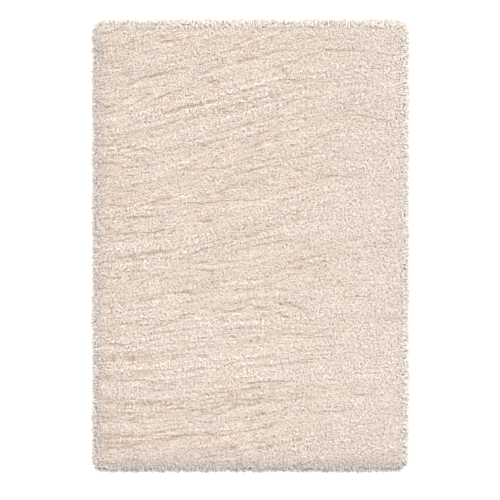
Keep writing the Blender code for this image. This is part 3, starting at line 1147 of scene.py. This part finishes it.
def rounded(x, y):
    """The point moved inwards if it is in a corner of the cloth, so that the corner is an arc."""
    radius = CORNER_RADIUS[int(math.copysign(1, x)), int(math.copysign(1, y))]
    past_x = (abs(x) - (CLOTH_WIDTH / 2 - radius)) / radius
    past_y = (abs(y) - (CLOTH_LENGTH / 2 - radius)) / radius
    if past_x <= 0 or past_y <= 0:
        return x, y
    pulled_x = CLOTH_WIDTH / 2 - radius + radius * past_x * math.sqrt(1 - past_y**2 / 2)
    pulled_y = CLOTH_LENGTH / 2 - radius + radius * past_y * math.sqrt(1 - past_x**2 / 2)
    return math.copysign(pulled_x, x), math.copysign(pulled_y, y)


def rim_of_grid(columns, rows):
    """The numbers of a grid's outermost points, anticlockwise from the near left corner."""
    far_left = (rows - 1) * columns
    near = range(0, columns - 1)
    right = range(columns - 1, rows * columns - 1, columns)
    far = range(rows * columns - 1, far_left, -1)
    left = range(far_left, 0, -columns)
    return [*near, *right, *far, *left]


def rounded_slab(name, cell, inset, bottom, height_at):
    """A closed slab with the cloth's outline, flat underneath, whose top follows height_at."""
    columns = round(CLOTH_WIDTH / cell) + 1
    rows = round(CLOTH_LENGTH / cell) + 1
    places = [
        rounded(x, y)
        for y in np.linspace(-CLOTH_LENGTH / 2, CLOTH_LENGTH / 2, rows)
        for x in np.linspace(-CLOTH_WIDTH / 2, CLOTH_WIDTH / 2, columns)
    ]
    x, y = np.array(places).T
    x = x * (1 - 2 * inset / CLOTH_WIDTH)
    y = y * (1 - 2 * inset / CLOTH_LENGTH)
    top = np.stack([x, y, height_at(x, y)], 1)
    faces = [
        (corner, corner + 1, corner + columns + 1, corner + columns)
        for row in range(rows - 1)
        for corner in range(row * columns, row * columns + columns - 1)
    ]
    rim = rim_of_grid(columns, rows)
    under = top[rim] * (1, 1, 0) + (0, 0, bottom)
    for place, corner in enumerate(rim):
        after = (place + 1) % len(rim)
        faces.append((len(top) + place, len(top) + after, rim[after], corner))
    faces.append(tuple(range(len(top) + len(rim) - 1, len(top) - 1, -1)))
    mesh = bpy.data.meshes.new(name)
    mesh.from_pydata(np.concatenate([top, under]).tolist(), [], faces)
    mesh.shade_smooth()
    mesh.set_sharp_from_angle(angle=SHARP_FROM)
    return put_in_scene(name, mesh)


corner = rounded(-CLOTH_WIDTH / 2, -CLOTH_LENGTH / 2)
print("the near left corner is drawn in to", [round(place, 3) for place in corner])

# %% [markdown]
# ## The roots
#
# Between the yarns one looks down into the crowded lower half of the pile. Growing that too
# would double the work for something that is hardly seen. It is a slab instead, whose top rises
# and sinks with the bands of the pile and drops into the main partings.

# %% The roots' shape
ROOTS_INSET = 0.008
ROOTS_CELL = 0.021
ROOTS_DEPTH = 15.0  # millimetres, and how much the bands, the grain and the partings change it
ROOTS_BY_SHADE = 1.6
ROOTS_BY_GRAIN = 1.2
ROOTS_BY_PARTING = 2.5
ROOTS_GRAIN = {"along": 0.060, "across": 0.025, "seed": 51}


def roots_height(x, y):
    """The height of the mass of roots: lower at the edge and in the main partings."""
    across = across_drift(x, y)
    inset = edge_distance(x, y)[0]
    _, distance, openness = main_partings(x, y)
    height = ROOTS_DEPTH + ROOTS_BY_SHADE * shade_of(x, across)
    height = height + ROOTS_BY_GRAIN * layer_noise(x, across, ROOTS_GRAIN)
    height = height - ROOTS_BY_PARTING * openness * np.exp(-((distance / NEAR_PARTING) ** 2))
    rolled = height * np.clip(0.45 + inset / EDGE_ROLL, 0, 1)
    return rolled.clip(4.0, 18.0) * MILLIMETRE


roots = rounded_slab("pile_roots", ROOTS_CELL, ROOTS_INSET, CLOTH_THICKNESS, roots_height)

# %% [markdown]
# ### Where the roots are parted
#
# Along every parting the roots are painted darker too, as shade, in a line only a few millimetres
# wide, which is much finer than the slab's own cells. So the slab carries the smooth values that
# the lines are made from, the phase and the strength of each step and the distance and the
# openness of the main partings, and the material turns them into lines of painted shade.

# %% Values for the roots' material
def give(mesh, name, values):
    """Stores a value at each vertex of a mesh: a number, or a vector of three."""
    kind, field = ("FLOAT_VECTOR", "vector") if values.ndim == 2 else ("FLOAT", "value")
    attribute = mesh.attributes.new(name, kind, "POINT")
    attribute.data.foreach_set(field, values.astype(np.float32).ravel())


roots_x, roots_y, _ = np.array([vertex.co for vertex in roots.data.vertices]).T
phases, strengths = steps_of(roots_x, across_drift(roots_x, roots_y))
_, distance, openness = main_partings(roots_x, roots_y)
give(roots.data, "phases", np.stack(phases, 1))
give(roots.data, "strengths", np.stack(strengths, 1))
give(roots.data, "distance", distance)
give(roots.data, "openness", openness)
print(len(roots_x), "points of the roots know the partings")

# %% [markdown]
# ### The roots' finish
#
# The roots are yarn seen end on. The material packs small round cells side by side, light in
# the middle with painted brown shade in between, and paints shade on them along the partings.

# %% The lines of the partings
ROOTS_BY_LIGHT = (
    (0.0, (0.52, 0.40, 0.31)),
    (0.5, (0.84, 0.74, 0.65)),
    (1.0, (0.95, 0.875, 0.80)),
)
YARN_ENDS = 150.0  # how many yarn ends lie side by side in a metre
END_WIDTH = 0.75  # how the ends are stretched across the rug and squeezed along it
END_LENGTH = 1.15
LINE_SHARPNESS = 0.7
STEP_SHADE_LINES = 0.9  # how dark the painted shade is in the lines of the steps, and of the main partings
MAIN_SHADE_LINES = 0.7


def parting_shade_lines(t):
    """How deep the pile is parted, worked out in the material from what the slab carries, for the
    painted shade along the partings.
    """
    phase = t.node("ShaderNodeAttribute", {"attribute_name": "phases"}).out("Vector")
    strength = t.node("ShaderNodeAttribute", {"attribute_name": "strengths"}).out("Vector")
    distance = t.node("ShaderNodeAttribute", {"attribute_name": "distance"}).out("Fac")
    openness = t.node("ShaderNodeAttribute", {"attribute_name": "openness"}).out("Fac")
    lengths = t.vector(*[step["length"] / PARTING_WIDTH for step in STEPS])
    rest = t.node("ShaderNodeVectorMath", {"operation": "FRACTION"}, {0: phase})
    gap = rest.math("MINIMUM", rest, 1 - rest) * lengths
    near = (1 - gap * LINE_SHARPNESS).math("MAXIMUM", 1 - gap * LINE_SHARPNESS, 0.0)
    dot = t.node("ShaderNodeVectorMath", {"operation": "DOT_PRODUCT"}, {0: near, 1: strength})
    away = distance.math("ABSOLUTE", distance) * (LINE_SHARPNESS / PARTING_WIDTH)
    main = (1 - away).kept_in(0.0, 1.0) * openness
    return (dot.out("Value") * STEP_SHADE_LINES + main * MAIN_SHADE_LINES).kept_in(0.0, 1.0)


print("a line is", round(2 * PARTING_WIDTH / LINE_SHARPNESS / MILLIMETRE, 1), "mm wide at its foot")


# %% The roots' finish
def roots_finish():
    """Yarn seen end on: round ends with painted brown shade in the gaps, and painted shade along the
    partings.
    """
    material, shader, t = new_finish("pile_depths")
    place = t.node("ShaderNodeTexCoord").out("Object") * t.vector(END_WIDTH, END_LENGTH, 1.0)
    ends = t.node("ShaderNodeTexVoronoi", {"feature": "F1"}, {"Vector": place, "Scale": YARN_ENDS})
    crowd = t.node("ShaderNodeTexNoise", {}, {"Vector": place, "Scale": 45.0, "Detail": 3.0})
    nearness = 1 - ends.out("Distance") * 1.25
    # painted shade: brown between the yarn ends and along the partings
    light = nearness * 0.75 + crowd * 0.55 - 0.12 - parting_shade_lines(t) * 0.40
    light = light.kept_in(0.0, 1.0)
    colour = t.node("ShaderNodeValToRGB", {"stops": ROOTS_BY_LIGHT}, {"Fac": light})
    colour.feed(shader.inputs["Base Color"])
    relief = {"Strength": 0.9, "Distance": 0.003, "Height": nearness}
    t.node("ShaderNodeBump", {}, relief).feed(shader.inputs["Normal"])
    shader.inputs["Roughness"].default_value = 0.95
    shader.inputs["Specular IOR Level"].default_value = 0.15
    return material


roots.data.materials.append(roots_finish())
print("the roots have", roots.data.materials[0].name)

# %% [markdown]
# ## The ground cloth
#
# The cloth that holds the tufts is a firm plain weave, three millimetres thick at its turned
# hem and two inside it. It shows only from very low down and from underneath. Its weave is far
# too fine to model, so two sine waves, one across the warp and one across the weft, draw it in
# the relief and as painted shade between the threads.

# %% The ground cloth's shape
HEM = 0.026
CLOTH_CELL = 0.033
INSIDE_HEM = 0.66  # how thick the cloth is there, as a share of the hem


def cloth_height(x, y):
    """Three millimetres at the hem, and two inside it."""
    inset = edge_distance(x, y)[0]
    return np.where(inset < HEM, CLOTH_THICKNESS, INSIDE_HEM * CLOTH_THICKNESS)


cloth = rounded_slab("ground_cloth", CLOTH_CELL, 0.0, 0.0, cloth_height)

# %% The ground cloth's finish
WARP_PITCH = 0.0032
WEFT_PITCH = 0.0044
CLOTH_BY_LIGHT = ((0.0, (0.50, 0.40, 0.30)), (1.0, (0.80, 0.72, 0.62)))


def cloth_finish():
    """Undyed plain weave: raised threads with painted shade in between, and slubs."""
    material, shader, t = new_finish("woven_ground")
    place = t.node("ShaderNodeTexCoord").out("Object")
    split = t.node("ShaderNodeSeparateXYZ", {}, {0: place})
    warp = (split.out("X") * (math.tau / WARP_PITCH)).sine()
    weft = (split.out("Y") * (math.tau / WEFT_PITCH)).sine()
    weave = warp * weft * 0.5 + 0.5
    slub = t.node("ShaderNodeTexNoise", {}, {"Vector": place, "Scale": 70.0})
    # painted shade between the threads, and the slubs' own colour
    light = (weave * 0.6 + slub * 0.4).kept_in(0.0, 1.0)
    colour = t.node("ShaderNodeValToRGB", {"stops": CLOTH_BY_LIGHT}, {"Fac": light})
    colour.feed(shader.inputs["Base Color"])
    relief = {"Strength": 0.8, "Distance": 0.0008, "Height": weave}
    t.node("ShaderNodeBump", {}, relief).feed(shader.inputs["Normal"])
    shader.inputs["Roughness"].default_value = 0.92
    shader.inputs["Specular IOR Level"].default_value = 0.2
    return material


cloth.data.materials.append(cloth_finish())
print("the cloth lies at z =", round(min(vertex.co.z for vertex in cloth.data.vertices), 4), "m")

# %% [markdown]
# ## Putting the pieces on the solid
#
# The rug has one solid and one body. Every piece here replaces that solid and rides on its body.
# The cloth lies flat on the floor, 1.60 m by 2.30 m.

# %% Pieces on the body
pieces = [*pile, cloth, roots]
for piece in pieces:
    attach(piece, "root")
    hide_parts("rug")
triangles = sum(len(piece.data.loop_triangles) for piece in pieces)
print(len(pieces), "pieces,", triangles, "triangles in all")

# %% [markdown]
# ## The studio
#
# The rug lies on a plain white floor, under light so even that it hardly casts a shadow. Most
# of it comes from the world all round. A weak, wide sun from the far right gives the tufts
# their lit and their shaded side, and leaves the near end and the left-hand edge in shade.

# %% The floor
FLOOR_REACH = 60.0
FLOOR_WHITE = (0.80, 0.80, 0.80, 1.0)


def lay_floor():
    """A big square of matt white, which isn't part of the rug."""
    reach = FLOOR_REACH
    corners = [(-reach, -reach, 0), (reach, -reach, 0), (reach, reach, 0), (-reach, reach, 0)]
    mesh = bpy.data.meshes.new("floor")
    mesh.from_pydata(corners, [], [(0, 1, 2, 3)])
    material, shader, _ = new_finish("white_floor")
    shader.inputs["Base Color"].default_value = FLOOR_WHITE
    shader.inputs["Roughness"].default_value = 1.0
    shader.inputs["Specular IOR Level"].default_value = 0.0
    mesh.materials.append(material)
    floor = bpy.data.objects.new("floor", mesh)
    bpy.context.scene.collection.objects.link(floor)
    floor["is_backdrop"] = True


lay_floor()
print("the floor is", 2 * FLOOR_REACH, "m wide")

# %% The light
SKY_STRENGTH = 1.59
SUN_STRENGTH = 1.8
SUN_ANGLE = math.radians(25)  # how wide the sun looks, which softens its shadows
SUN_FROM = Vector((0.55, 0.75, 1.0))


def light_up():
    """White light from all round, and a weak sun."""
    world = bpy.data.worlds.new("studio")
    world.use_nodes = True
    sky = world.node_tree.nodes["Background"]
    sky.inputs["Color"].default_value = (1, 1, 1, 1)
    sky.inputs["Strength"].default_value = SKY_STRENGTH
    bpy.context.scene.world = world
    lamp = bpy.data.lights.new("sun", "SUN")
    lamp.energy = SUN_STRENGTH
    lamp.angle = SUN_ANGLE
    sun = bpy.data.objects.new("sun", lamp)
    sun.rotation_euler = SUN_FROM.to_track_quat("Z", "Y").to_euler()
    bpy.context.scene.collection.objects.link(sun)


light_up()
print("the sun stands", round(math.degrees(math.asin(SUN_FROM.normalized().z))), "degrees high")

# %% [markdown]
# ## The camera
#
# The rug is shown from straight overhead, as flat as a plan. A long lens from high up does
# that: the sides of the pile hardly show, and the two ends look the same size.

# %% The camera
LENS = 300  # millimetres
SENSOR = 36
VIEW_WIDTH = 2.58  # metres of floor across the frame
EYE_X = -0.001
EYE_Y = -0.020  # a little towards the near end, so that the rug sits high in the frame


def set_up_camera():
    """A camera that looks straight down, which is how a new camera looks."""
    camera = bpy.data.cameras.new("camera")
    camera.lens = LENS
    camera.sensor_width = SENSOR
    eye = bpy.data.objects.new("camera", camera)
    eye.location = (EYE_X, EYE_Y, VIEW_WIDTH * LENS / SENSOR)
    bpy.context.scene.collection.objects.link(eye)
    bpy.context.scene.camera = eye
    bpy.context.scene.view_settings.view_transform = "Standard"


set_up_camera()
print("the camera hangs", round(bpy.context.scene.camera.location.z, 1), "m above the floor")

# %% [markdown]
# ## The size, and the end
#
# Yarn stands a little proud of the solid, about two centimetres at the sides and less than one
# on top. How far the yarn's box reaches past the solid's, towards +X, +Y and +Z, is printed.

# %% Sizes
visual_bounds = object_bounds()
past = [round((yarn - solid) / MILLIMETRE, 1) for yarn, solid in zip(visual_bounds[1], cad_bounds[1])]
print("the yarn stands", past, "mm proud of the solid in X, Y and Z")
